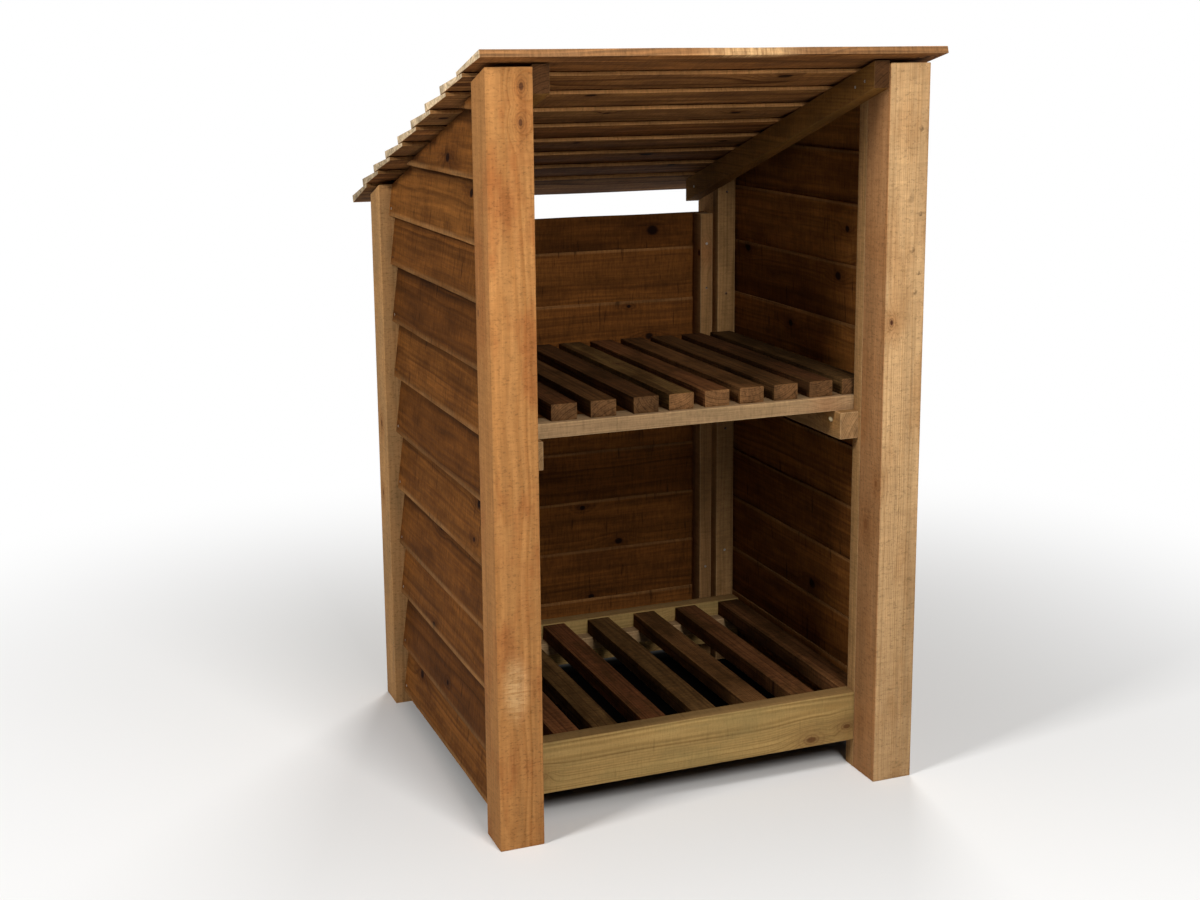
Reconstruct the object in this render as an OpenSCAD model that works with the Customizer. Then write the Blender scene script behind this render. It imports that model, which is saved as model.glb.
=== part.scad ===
// Open-fronted log store: four posts, lapped boards on three sides, a slatted floor,
// a slatted shelf and a lapped board roof that falls to the back.
// X runs along the open front, Y from front to back and Z up. The origin is on the
// ground under the middle of the roof.

/* [Frame] */
// Width over the outer faces of the posts
frame_w = 760; // [630:1:920]
// Depth over the outer faces of the posts
frame_d = 740; // [610:1:900]
// Height of the front faces of the front posts
front_h = 1240; // [1030:1:1500]
// Fall of the roof to the back, in degrees
roof_pitch = 18; // [14:0.5:22]

/* [Timber] */
// Post section along the front
post_w = 75; // [62:1:90]
// Post section from front to back
post_d = 70; // [58:1:84]
// Wide face of a cladding batten
batten_w = 38; // [32:1:46]
// Thickness of a cladding batten
batten_t = 26; // [21:1:32]
// Thickness of a rafter
rafter_t = 28; // [22:1:34]
// Height of a rafter, measured upright
rafter_h = 44; // [36:1:53]

/* [Cladding] */
// Width of a feather-edge side or back board
clad_board_w = 125; // [118:1:150]
// Upright distance from one course to the next
course_pitch = 104.5; // [87:0.5:108]
// Thickness of the board's thick lower edge
clad_thick = 14; // [11:0.5:16]
// Thickness of the board's thin upper edge
clad_thin = 3; // [3:0.5:6]
// Height of the lowest board above the ground
clad_lift = 25; // [10:1:40]
// Opening between the back panel and the roof, measured upright
vent_gap = 68; // [40:1:90]

/* [Roof] */
// Length of the roof boards, along the front
roof_w = 790; // [770:1:950]
// How far the roof stands out in front of the posts
roof_front = 28; // [15:1:40]
// How far the roof stands out behind the posts
roof_rear = 82; // [60:1:100]
// Width of a feather-edge roof board
roof_board_w = 125; // [118:1:150]
// Number of roof boards
roof_boards = 9; // [8:1:10]
// Thickness of a roof board's thick edge
roof_thick = 14; // [11:0.5:17]
// Thickness of a roof board's thin edge
roof_thin = 6.5; // [5:0.5:8]
// Thickness of the front board's forward edge
front_edge_t = 12; // [10:0.5:15]
// Height that the rafters stand above the post tops
rafter_proud = 5; // [2:0.5:8]
// Distance of the rafters' front ends behind the front of the posts
rafter_setback = 4; // [2:1:10]

/* [Floor] */
// Height of the top of the floor beams
floor_top = 142; // [118:1:170]
// Height of a floor beam's section
beam_h = 90; // [75:1:108]
// Thickness of a floor beam
beam_t = 30; // [25:1:36]
// Height of a ledger under the slat ends
ledger_h = 25; // [20:1:30]
// Thickness of a ledger
ledger_t = 28; // [22:1:34]
// Number of floor slats
floor_slats = 8; // [6:1:9]
// Drop of the slats below the tops of the beams
slat_drop = 2; // [0:0.5:5]

/* [Shelf] */
// Height of the tops of the shelf's side bearers
bearer_top = 650; // [545:1:780]
// Height of a side bearer's section
bearer_h = 47; // [39:1:56]
// Width of a side bearer's section
bearer_w = 35; // [29:1:42]
// Distance of a side bearer's front end behind the front posts
bearer_setback = 8; // [4:1:20]
// Width of the front and back cross bearers
cross_w = 45; // [38:1:54]
// Thickness of the front and back cross bearers
cross_t = 25; // [21:1:30]
// Number of shelf slats
shelf_slats = 10; // [8:1:10]
// Distance of the slat ends behind the face of the front cross bearer
slat_setback = 10; // [5:1:20]

/* [Slats] */
// Width of a slat
slat_w = 45; // [38:1:46]
// Thickness of a slat
slat_t = 28; // [23:1:33]

/* [Hidden] */
// Clearance that lets a piece be dropped between two others
fit_gap = 0.3;
// Clearance between the cladding and the ends of what lies across the store
edge_gap = 1;
// Distance of an evenly spread row of slats from the ends of what carries it
row_margin = 15;
// How far each side course sits from even spacing, from the lowest course up
side_drift = [0, -10, -5, -9, -3, 2, 7, 8, 12, -1, -3, 0];
// How far each back course sits from even spacing, from the lowest course up
rear_drift = [0, 0, 0, 0, 0, -5, -10, -9, 0];
// How far each floor slat sits from even spacing, from the left
floor_drift = [0, -10, -27, -24, -16, -3, 3, 13];
// How far each shelf slat sits from even spacing, from the left
shelf_drift = [11, 13, 14, 22, 18, 16, 13, 10, 10, 6];

inner_x = frame_w / 2 - post_w;
clad_x = inner_x + batten_w;
rear_clad_y = frame_d - post_d + batten_w;
front_frame_y = post_d + batten_t;
rear_frame_y = frame_d - post_d - batten_t;
clear_w = 2 * (clad_x - edge_gap);
slat_row_w = clear_w - 2 * row_margin;
roof_back = frame_d + roof_rear + roof_thick * sin(roof_pitch);
plan_mid = (roof_back - roof_front) / 2;

fall = tan(roof_pitch);
roof_z0 = front_h + rafter_proud;
roof_slope_len = (frame_d + roof_front + roof_rear) / cos(roof_pitch);
roof_step = (roof_slope_len - roof_board_w) / (roof_boards - 1);
roof_lap = roof_board_w - roof_step;
roof_taper = (roof_thick - roof_thin) / roof_board_w;

clad_lap = 1 - course_pitch / clad_board_w;
clad_seat = (clad_thin + clad_lap * (clad_thick - clad_thin)) / (1 - clad_lap);
side_courses = ceil((front_h - clad_lift) / course_pitch);

rear_top = roof_z(rear_clad_y + clad_thick + clad_seat) - vent_gap;
rear_courses = ceil((rear_top - clad_lift) / course_pitch);

floor_slat_top = floor_top - slat_drop;
floor_slat_y0 = post_d + beam_t + fit_gap;
rear_beam_y = rear_frame_y - beam_t;
shelf_slat_y0 = front_frame_y + slat_setback;

LEFT = -1;
RIGHT = 1;

// Height of the plane that the roof boards rest on, y behind the front of the posts
function roof_z(y) = roof_z0 - y * fall;

// Height of the plane that the post tops are cut to
function post_z(y) = front_h - y * fall;

// Rise of roof board i's underside along the board: it rests on the next board, either on
// that board's thin edge or, at its own back edge, on that board's top
function lift(i) =
    i == roof_boards ? 0 :
    max(roof_thin / roof_step, (roof_thin + roof_lap * (roof_taper + lift(i + 1))) / roof_board_w);

// How far piece i of a row, counted from 0, sits from even spacing: nothing past the list's end
function drift_of(i, drift) = i < len(drift) ? drift[i] : 0;

// Height of the lower edge of course i, counted from 0
function course_z(i, drift) = clad_lift + i * course_pitch + drift_of(i, drift);

// Left edge of slat i of n in a row across the store
function slat_x(i, n, drift) =
    -slat_row_w / 2 + (i - 1) * (slat_row_w - slat_w) / (n - 1) + drift_of(i - 1, drift);

// Lapped boards in section: u is outwards from the battens, v is up. Each board's thick lower
// edge sits over the thin upper edge of the board below.
function lapped_outline(n, drift) = concat(
    [for (i = [0:n - 1]) each [
        [clad_seat + clad_thick, course_z(i, drift)],
        [clad_face(i, course_z(i + 1, drift), drift), course_z(i + 1, drift)]
    ]],
    [for (i = [n - 1:-1:0]) each [
        [0, course_top(i, drift)],
        [clad_seat * (course_top(i, drift) - course_foot(i, drift)) / clad_board_w, course_foot(i, drift)]
    ]]
);

// Height of the upper edge of course i
function course_top(i, drift) = course_z(i, drift) + clad_board_w;

// Height down to which course i shows from inside
function course_foot(i, drift) = i == 0 ? course_z(0, drift) : course_top(i - 1, drift);

// Distance of course i's outer face from the battens at height z
function clad_face(i, z, drift) =
    clad_thin + (clad_seat + clad_thick - clad_thin) * (course_top(i, drift) - z) / clad_board_w;

// Moves what was laid out behind the front of the posts to the part's own origin
module placed() {
    translate([0, -plan_mid, 0]) children();
}

// Extrudes a side-view outline (y, z) along X from x0 over length
module side_profile(x0, length) {
    translate([x0, 0, 0]) rotate([90, 0, 90]) linear_extrude(length) children();
}

// The space under the post tops' cutting plane
module under_roof(x0, length) {
    side_profile(x0, length)
        polygon([[0, 0], [frame_d, 0], [frame_d, post_z(frame_d)], [0, post_z(0)]]);
}

module post(side, y0) {
    x0 = side == LEFT ? -frame_w / 2 : frame_w / 2 - post_w;
    color("peru") placed() side_profile(x0, post_w)
        polygon([[y0, 0], [y0 + post_d, 0], [y0 + post_d, post_z(y0 + post_d)], [y0, post_z(y0)]]);
}

// Upright batten on a side panel, with its top cut to the fall of the roof
module side_batten(side, y0) {
    x0 = side == LEFT ? -clad_x : inner_x;
    side_profile(x0, batten_w)
        polygon([[y0, 0], [y0 + batten_t, 0], [y0 + batten_t, post_z(y0 + batten_t)], [y0, post_z(y0)]]);
}

module side_battens(side) {
    color("rosybrown") placed() {
        side_batten(side, post_d);
        side_batten(side, rear_frame_y);
    }
}

module rear_battens() {
    color("rosybrown") placed()
        for (x = [-inner_x, inner_x - batten_t])
            translate([x, frame_d - post_d, 0]) cube([batten_t, batten_w, rear_top]);
}

module rafter(side) {
    x0 = side == LEFT ? -inner_x : inner_x - rafter_t;
    color("saddlebrown") placed() side_profile(x0, rafter_t) polygon([
        [rafter_setback, roof_z(rafter_setback)],
        [rafter_setback, roof_z(rafter_setback) - rafter_h],
        [frame_d, roof_z(frame_d) - rafter_h],
        [frame_d, roof_z(frame_d)]
    ]);
}

module side_cladding(side) {
    color("sienna") placed() intersection() {
        translate([0, frame_d - post_d, 0]) rotate([90, 0, 0])
            linear_extrude(frame_d - 2 * post_d)
                mirror([side == LEFT ? 1 : 0, 0]) translate([clad_x, 0])
                    polygon(lapped_outline(side_courses, side_drift));
        under_roof(-frame_w / 2, frame_w);
    }
}

module rear_cladding() {
    color("sienna") placed() intersection() {
        side_profile(-inner_x, 2 * inner_x)
            translate([rear_clad_y, 0]) polygon(lapped_outline(rear_courses, rear_drift));
        translate([-inner_x, rear_clad_y, 0]) cube([2 * inner_x, post_d, rear_top]);
    }
}

// One roof board: the front board has its thick edge forward, the others have it behind
module roof_board(i) {
    front_t = i == 1 ? front_edge_t : roof_thin;
    rear_t = i == 1 ? roof_thin : roof_thick;
    color("saddlebrown") placed() side_profile(-roof_w / 2, roof_w)
        translate([-roof_front, roof_z(-roof_front)]) rotate(-roof_pitch)
            translate([(i - 1) * roof_step, 0])
                polygon([
                    [0, 0],
                    [roof_board_w, roof_board_w * lift(i)],
                    [roof_board_w, roof_board_w * lift(i) + rear_t],
                    [0, front_t]
                ]);
}

module front_floor_beam() {
    color("darkkhaki") placed()
        translate([-inner_x, post_d, floor_top - beam_h]) cube([2 * inner_x, beam_t, beam_h]);
}

module rear_floor_beam() {
    color("darkkhaki") placed()
        translate([-clear_w / 2, rear_beam_y, floor_top - beam_h]) cube([clear_w, beam_t, beam_h]);
}

// Ledgers on the inner faces of the floor beams, under the slat ends
module floor_ledgers() {
    z0 = floor_slat_top - slat_t - ledger_h;
    color("tan") placed()
        for (y = [post_d + beam_t, rear_beam_y - ledger_t])
            translate([-clear_w / 2, y, z0]) cube([clear_w, ledger_t, ledger_h]);
}

module floor_slat(i) {
    color("chocolate") placed()
        translate([slat_x(i, floor_slats, floor_drift), floor_slat_y0, floor_slat_top - slat_t])
            cube([slat_w, rear_beam_y - floor_slat_y0 - fit_gap, slat_t]);
}

module shelf_side_bearers() {
    y0 = post_d + bearer_setback;
    color("tan") placed()
        for (x = [-inner_x, inner_x - bearer_w])
            translate([x, y0, bearer_top - bearer_h])
                cube([bearer_w, frame_d - post_d - y0, bearer_h]);
}

module cross_bearer(y0) {
    color("burlywood") placed()
        translate([-clear_w / 2, y0, bearer_top]) cube([clear_w, cross_w, cross_t]);
}

module shelf_front_bearer() {
    cross_bearer(front_frame_y);
}

module shelf_rear_bearer() {
    cross_bearer(rear_frame_y - cross_w);
}

module shelf_slat(i) {
    color("chocolate") placed()
        translate([slat_x(i, shelf_slats, shelf_drift), shelf_slat_y0, bearer_top + cross_t])
            cube([slat_w, rear_frame_y - shelf_slat_y0, slat_t]);
}

post(LEFT, 0);  // front_left_post
post(RIGHT, 0);  // front_right_post
post(LEFT, frame_d - post_d);  // rear_left_post
post(RIGHT, frame_d - post_d);  // rear_right_post
side_battens(LEFT);  // left_battens
side_battens(RIGHT);  // right_battens
rear_battens();
rafter(LEFT);  // left_rafter
rafter(RIGHT);  // right_rafter
side_cladding(LEFT);  // left_cladding
side_cladding(RIGHT);  // right_cladding
rear_cladding();
front_floor_beam();
rear_floor_beam();
floor_ledgers();
shelf_side_bearers();
shelf_front_bearer();
shelf_rear_bearer();
for (i = [1:roof_boards]) {
    roof_board(i);
}
for (i = [1:floor_slats]) {
    floor_slat(i);
}
for (i = [1:shelf_slats]) {
    shelf_slat(i);
}
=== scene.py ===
import math
import random

import bpy
from mathutils import Matrix, Vector


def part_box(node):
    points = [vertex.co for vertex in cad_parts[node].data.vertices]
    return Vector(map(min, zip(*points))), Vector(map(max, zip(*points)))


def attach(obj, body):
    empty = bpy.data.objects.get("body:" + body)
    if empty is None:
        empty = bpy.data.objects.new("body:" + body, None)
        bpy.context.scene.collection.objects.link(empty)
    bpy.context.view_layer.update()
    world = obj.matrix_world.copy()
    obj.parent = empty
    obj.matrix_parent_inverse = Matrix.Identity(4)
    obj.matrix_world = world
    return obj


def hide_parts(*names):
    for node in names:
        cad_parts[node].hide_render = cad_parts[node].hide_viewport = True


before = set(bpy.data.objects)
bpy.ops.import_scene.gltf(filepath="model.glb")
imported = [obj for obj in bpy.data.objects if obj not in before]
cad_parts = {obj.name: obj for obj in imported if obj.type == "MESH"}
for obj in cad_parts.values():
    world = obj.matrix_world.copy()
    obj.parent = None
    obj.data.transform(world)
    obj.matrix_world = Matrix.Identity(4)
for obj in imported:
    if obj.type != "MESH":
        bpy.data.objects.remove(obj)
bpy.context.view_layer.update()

# Log store in rough sawn, pressure-treated timber. Every board is its own piece, laid on the
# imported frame. Metres, X along the open front, Y to the back, Z up.

mm = 0.001
alongX, alongY, alongZ = 0, 1, 2


def linearColour(hexColour):
    # sRGB hex to the linear colour that shaders want
    channels = [int(hexColour[i:i + 2], 16) / 255 for i in (1, 3, 5)]
    return [c / 12.92 if c <= 0.04045 else ((c + 0.055) / 1.055) ** 2.4 for c in channels] + [1]


def addNode(tree, kind, settings=None, inputs=None):
    # one node, with its settings and with what goes into it: a value or another node's output
    node = tree.nodes.new("ShaderNode" + kind)
    for key, value in (settings or {}).items():
        setattr(node, key, value)
    for key, value in (inputs or {}).items():
        if isinstance(value, bpy.types.NodeSocket):
            tree.links.new(value, node.inputs[key])
        else:
            node.inputs[key].default_value = value
    return node


def editMode(piece, selectMode="VERT"):
    bpy.ops.object.select_all(action="DESELECT")
    piece.select_set(True)
    bpy.context.view_layer.objects.active = piece
    bpy.ops.object.mode_set(mode="EDIT")
    bpy.ops.mesh.select_mode(type=selectMode)
    bpy.ops.mesh.select_all(action="DESELECT")


def selectPoints(piece, test):
    # picks the points whose place passes the test
    bpy.ops.object.mode_set(mode="OBJECT")
    for vertex in piece.data.vertices:
        vertex.select = bool(test(vertex.co))
    bpy.ops.object.mode_set(mode="EDIT")


def movePoints(piece, test, step):
    editMode(piece)
    selectPoints(piece, test)
    bpy.ops.transform.translate(value=step)
    bpy.ops.object.mode_set(mode="OBJECT")


def sawLength(name, low, high):
    # a squared length of timber, before it is shaped
    bpy.ops.object.select_all(action="DESELECT")
    low, high = Vector(low), Vector(high)
    bpy.ops.mesh.primitive_cube_add(size=1, location=(low + high) / 2, scale=high - low)
    piece = bpy.context.active_object
    piece.name = piece.data.name = name
    bpy.ops.object.transform_apply(location=True, rotation=True, scale=True)
    return piece


def cutStations(piece, along, gap):
    # rings of edges along the length, so that the timber can wander
    editMode(piece, "EDGE")
    bpy.ops.object.mode_set(mode="OBJECT")
    points = piece.data.vertices
    length = 0
    for edge in piece.data.edges:
        a, b = (points[i].co for i in edge.vertices)
        run = b - a
        edge.select = abs(run[along]) > 0.9 * run.length and run.length > gap
        if edge.select:
            length = max(length, run.length)
    bpy.ops.object.mode_set(mode="EDIT")
    if length:
        bpy.ops.mesh.subdivide(number_cuts=max(1, round(length / gap) - 1))
    bpy.ops.object.mode_set(mode="OBJECT")


def wander(piece, axis, strength, waveGrain):
    # the slow wave that a board takes up as it dries
    cloudName = "dryingWave%g" % waveGrain
    cloud = bpy.data.textures.get(cloudName) or bpy.data.textures.new(cloudName, "CLOUDS")
    cloud.noise_scale, cloud.noise_depth = waveGrain, 1
    bpy.ops.object.select_all(action="DESELECT")
    piece.select_set(True)
    bpy.context.view_layer.objects.active = piece
    bpy.ops.object.modifier_add(type="DISPLACE")
    wave = piece.modifiers[-1]
    wave.texture, wave.texture_coords = cloud, "LOCAL"
    wave.direction, wave.mid_level, wave.strength = "XYZ"[axis], 0.5, strength
    bpy.ops.object.modifier_apply(modifier=wave.name)


def easeEdges(piece, arris):
    # the saw leaves a slightly furred, broken edge: two small facets
    editMode(piece, "EDGE")
    bpy.ops.mesh.edges_select_sharp(sharpness=math.radians(40))
    bpy.ops.mesh.bevel(offset=arris, offset_type="OFFSET", segments=2, profile=0.6)
    bpy.ops.object.mode_set(mode="OBJECT")


def copyPiece(piece, name, step):
    copied = piece.copy()
    copied.data = piece.data.copy()
    copied.name = copied.data.name = name
    bpy.context.scene.collection.objects.link(copied)
    copied.data.transform(Matrix.Translation(step))
    return copied


# where a board may come from: metres of log, and how far the pith lies aside and below
log = {"length": 20, "aside": 0.05, "below": (0.02, 0.07)}
dice = random.Random(41)


def layGrain(piece, along, across, pith=None, tone=None, tint=None, outward=0):
    # Each point learns its place in the log it was sawn from: x runs with the grain, y and z
    # are the distances from the pith. Every board comes from its own stretch of its own log.
    through = 3 - along - across
    mesh = piece.data
    low = [min(v.co[k] for v in mesh.vertices) for k in range(3)]
    high = [max(v.co[k] for v in mesh.vertices) for k in range(3)]
    stretch = dice.uniform(0, log["length"])
    side, depth = pith or (dice.uniform(-log["aside"], log["aside"]),
                           dice.choice((-1, 1)) * dice.uniform(*log["below"]))
    inBoard, inLog = [], []
    for vertex in mesh.vertices:
        spot = (vertex.co[along] - low[along], vertex.co[across] - (low[across] + high[across]) / 2,
                vertex.co[through] - (low[through] + high[through]) / 2)
        inBoard += spot
        inLog += [spot[0] + stretch, spot[1] + side, spot[2] + depth]
    for name, values in (("boardPlace", inBoard), ("grainPlace", inLog)):
        mesh.attributes.new(name, "FLOAT_VECTOR", "POINT").data.foreach_set("vector", values)
    shade, hue = dice.random(), dice.random()
    shade = shade if tone is None else tone
    hue = hue if tint is None else tint
    # one value for each point: its board's tone and tint, and its distance from the lower edge
    for name, value in (
            ("fromEdge", lambda v: v.co[across] - low[across]),
            ("boardTone", lambda v: shade),
            ("boardTint", lambda v: hue)):
        values = [value(v) for v in mesh.vertices]
        mesh.attributes.new(name, "FLOAT", "POINT").data.foreach_set("value", values)
    # one value for each face: sawn end, narrow side, side to the weather, and eased edge, which
    # is small and looks two ways at once
    faceOn, aslant, small = 0.8, 0.25, 3e-4
    for name, test in (
            ("cutEnd", lambda f: abs(f.normal[along]) > faceOn),
            ("narrowEdge", lambda f: abs(f.normal[across]) > faceOn),
            ("weatherSide", lambda f: f.normal[through] * outward > 0.5),
            ("brokenEdge", lambda f: sum(abs(c) > aslant for c in f.normal) > 1 and f.area < small)):
        values = [float(test(f)) for f in mesh.polygons]
        mesh.attributes.new(name, "FLOAT", "FACE").data.foreach_set("value", values)


def finishPiece(piece, material, slot, *nodes):
    bpy.ops.object.select_all(action="DESELECT")
    piece.select_set(True)
    bpy.context.view_layer.objects.active = piece
    bpy.ops.object.shade_smooth_by_angle(angle=math.radians(30))
    piece.data.materials.clear()
    piece.data.materials.append(material)
    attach(piece, "root")
    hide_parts(*nodes)
    return piece


# Settings that many nodes share
smoothStep, colourMix = {"interpolation_type": "SMOOTHSTEP"}, {"data_type": "RGBA"}
add, subtract, divide = ({"operation": kind} for kind in ("ADD", "SUBTRACT", "DIVIDE"))
multiply, multiplyAdd = ({"operation": kind} for kind in ("MULTIPLY", "MULTIPLY_ADD"))
maximum, vectorLength = ({"operation": kind} for kind in ("MAXIMUM", "LENGTH"))

# How sawn timber is drawn, in metres. A shape is a stretch along, across and through the board,
# with 0 where something runs right through it. An edge is where a knot, its swirl or the branch's
# own rings start and end, in radii of the knot.
grain = {
    "drift": (2.2, 7, 7),  # bends of the log, about 45 cm long and 14 cm across
    "knotScatter": 0.9, "knotShape": (0.8, 1, 0), "knotEdge": (0.6, 1.15),
    "swirlShape": (0.5, 1, 0), "swirlFall": 0.22, "knotPush": 18 * mm,
    "ownShape": (0.6, 1, 1), "ownEdge": (0.3, 0.65), "ownFall": 0.18,
    "branchRings": 11, "branchEdge": (0.6, 1.9), "haloShare": 0.5,
    "lateRise": (0.1, 0.8), "lateFall": (0.8, 1), "yearSpread": (0.35, 0.65),
    "rubTone": "#dfba84", "furShare": 0.25, "topShare": 0.6,
    "roughSwing": 0.07, "bumpStrength": 0.7, "bumpHeight": 0.5 * mm, "specular": 0.06,
}


def sawnTimber(name, look):
    # rings round the pith, knots, saw marks and wear, by where each spot lies in its log, with painted
    # shade and painted highlights
    material = bpy.data.materials.new(name)
    material.use_nodes = True
    tree = material.node_tree
    tree.nodes.clear()
    marked = {mark: addNode(tree, "Attribute", {"attribute_name": mark}).outputs for mark in (
        "grainPlace", "boardPlace", "boardTone", "boardTint", "fromEdge",
        "cutEnd", "narrowEdge", "weatherSide", "brokenEdge")}
    place, boardPlace = marked["grainPlace"]["Vector"], marked["boardPlace"]["Vector"]
    fromEdge, weatherSide = marked["fromEdge"]["Fac"], marked["weatherSide"]["Fac"]

    def spanFrom(spot, shape=(1, 1, 1)):
        # distance from a spot of this board: mm along, across and through
        offset = addNode(tree, "VectorMath", subtract, {0: boardPlace, 1: Vector(spot) * mm})
        shaped = addNode(tree, "VectorMath", multiply, {0: offset.outputs[0], 1: shape})
        return addNode(tree, "VectorMath", vectorLength, {0: shaped.outputs[0]}).outputs["Value"]

    def swirlOf(span, fall):
        # 1 at the heart of a knot, easing to 0 where the rings run straight again
        squared = addNode(tree, "Math", multiply, {0: span, 1: span})
        falling = addNode(tree, "Math", multiply, {0: squared.outputs[0], 1: -fall})
        return addNode(tree, "Math", {"operation": "EXPONENT"}, {0: falling.outputs[0]}).outputs[0]

    # the log wasn't straight: the rings wander by several millimetres along its length
    drift = addNode(tree, "VectorMath", multiply, {0: place, 1: grain["drift"]})
    driftNoise = addNode(tree, "TexNoise", None, {
        "Vector": drift.outputs[0], "Scale": 1, "Detail": 2, "Roughness": 0.5})
    sway = look["wander"] * mm
    driftStep = addNode(tree, "VectorMath", multiplyAdd, {
        0: driftNoise.outputs["Color"], 1: (0, sway * 2, sway * 2), 2: (0, -sway, -sway)})
    flow = addNode(tree, "VectorMath", add, {0: place, 1: driftStep.outputs[0]}).outputs[0]

    # knots: one possible branch in each cell of the log, and only some cells have one; it runs
    # straight through the board, and the rings swirl round it
    cells = look["knotCells"]
    inCells = addNode(tree, "VectorMath", multiply, {0: flow, 1: cells}).outputs[0]
    knots = addNode(tree, "TexVoronoi", {"voronoi_dimensions": "3D", "feature": "F1"}, {
        "Vector": inCells, "Scale": 1, "Randomness": grain["knotScatter"]})
    toKnot = addNode(tree, "VectorMath", subtract, {0: inCells, 1: knots.outputs["Position"]})
    offset = addNode(tree, "VectorMath", divide, {0: toKnot.outputs[0], 1: cells}).outputs[0]
    luck = addNode(tree, "SeparateColor", None, {0: knots.outputs["Color"]}).outputs
    isKnot = addNode(tree, "Math", {"operation": "LESS_THAN"}, {
        0: luck[0], 1: look["knotShare"]}).outputs[0]
    smallest, largest = look["knotSize"]
    knotSize = addNode(tree, "MapRange", None, {
        "Value": luck[1], "To Min": smallest * mm, "To Max": largest * mm}).outputs[0]
    spans = []
    for shape in (grain["swirlShape"], grain["knotShape"]):
        shaped = addNode(tree, "VectorMath", multiply, {0: offset, 1: shape})
        reach = addNode(tree, "VectorMath", vectorLength, {0: shaped.outputs[0]}).outputs["Value"]
        spans.append(addNode(tree, "Math", divide, {0: reach, 1: knotSize}).outputs[0])
    swirl = swirlOf(spans[0], grain["swirlFall"])
    bend = addNode(tree, "Math", multiply, {0: swirl, 1: isKnot}).outputs[0]
    start, end = grain["knotEdge"]
    core = addNode(tree, "MapRange", smoothStep, {
        "Value": spans[1], "From Min": start, "From Max": end, "To Min": 1, "To Max": 0}).outputs[0]
    knotMask = addNode(tree, "Math", multiply, {0: core, 1: isKnot}).outputs[0]
    for spot, size in look["ownKnots"]:
        # a knot at a known spot of this board, with the branch's own rings round its heart
        reach = spanFrom(spot, grain["ownShape"])
        span = addNode(tree, "Math", divide, {0: reach, 1: size * mm}).outputs[0]
        swirl = swirlOf(span, grain["ownFall"])
        bend = addNode(tree, "Math", maximum, {0: bend, 1: swirl}).outputs[0]
        start, end = grain["ownEdge"]
        core = addNode(tree, "MapRange", smoothStep, {
            "Value": span, "From Min": start, "From Max": end, "To Min": 1, "To Max": 0}).outputs[0]
        turns = addNode(tree, "Math", multiply, {0: span, 1: grain["branchRings"]}).outputs[0]
        ripple = addNode(tree, "Math", {"operation": "SINE"}, {0: turns}).outputs[0]
        start, end = grain["branchEdge"]
        rippleFade = addNode(tree, "MapRange", None, {
            "Value": span, "From Min": start, "From Max": end,
            "To Min": look["ripple"], "To Max": 0}).outputs[0]
        rippled = addNode(tree, "Math", multiply, {0: ripple, 1: rippleFade}).outputs[0]
        for part in (core, rippled):
            knotMask = addNode(tree, "Math", maximum, {0: knotMask, 1: part}).outputs[0]

    # growth rings, pushed outwards round each knot; no two years alike, so some rings come out
    # dark and some hardly show
    fromPith = addNode(tree, "VectorMath", multiply, {0: flow, 1: (0, 1, 1)})
    radius = addNode(tree, "VectorMath", vectorLength, {0: fromPith.outputs[0]}).outputs["Value"]
    pushed = addNode(tree, "Math", multiplyAdd, {0: bend, 1: grain["knotPush"], 2: radius})
    ringCount = addNode(tree, "Math", divide, {
        0: pushed.outputs[0], 1: look["ringWidth"] * mm}).outputs[0]
    ringPart = addNode(tree, "Math", {"operation": "FRACT"}, {0: ringCount}).outputs[0]
    year = addNode(tree, "TexNoise", {"noise_dimensions": "1D"}, {
        "W": ringCount, "Scale": 0.8, "Detail": 1}).outputs["Fac"]
    late = 1
    for value, (start, end), (first, last), settings in (
            (ringPart, grain["lateRise"], (0, 1), smoothStep),
            (ringPart, grain["lateFall"], (1, 0), smoothStep),
            (year, grain["yearSpread"], (0, 1), None)):
        part = addNode(tree, "MapRange", settings, {
            "Value": value, "From Min": start, "From Max": end, "To Min": first, "To Max": last})
        late = addNode(tree, "Math", multiply, {0: late, 1: part.outputs[0]}).outputs[0]

    # what lies over the rings: where it is read, how often it comes per metre along and across
    # the grain, its detail and its roughness
    patterns = {
        # streaks along the grain, drawn about 4 mm wide, coarser than they are, so that they show
        "fibres": (flow, (9, 230, 230), 4, 0.7),
        "bands": (flow, (2.4, 55, 55), 3, 0.6),
        "patches": (place, (7, 17, 17), 4, 0.62),
        # saw marks: dashes across the board, 3 cm long and 4 mm apart, coarser than they are
        "saw": (place, (1 / (look["sawPitch"] * mm), 34, 34), 2.5, 0.55),
        # dirt in the furred face: specks of 3 x 6 mm, coarser than they are
        "flecks": (place, (310, 170, 170), 3, 0.6),
        # deeper cuts of the saw: dashes of 8 mm x 6 cm, coarser than they are
        "marks": (place, (130, 15, 15), 2, 0.5),
    }
    noise = {}
    for key, (source, stretch, detail, roughness) in patterns.items():
        spread = addNode(tree, "VectorMath", multiply, {0: source, 1: stretch})
        noise[key] = addNode(tree, "TexNoise", None, {
            "Vector": spread.outputs[0], "Scale": 1, "Detail": detail,
            "Roughness": roughness}).outputs["Fac"]

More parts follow.
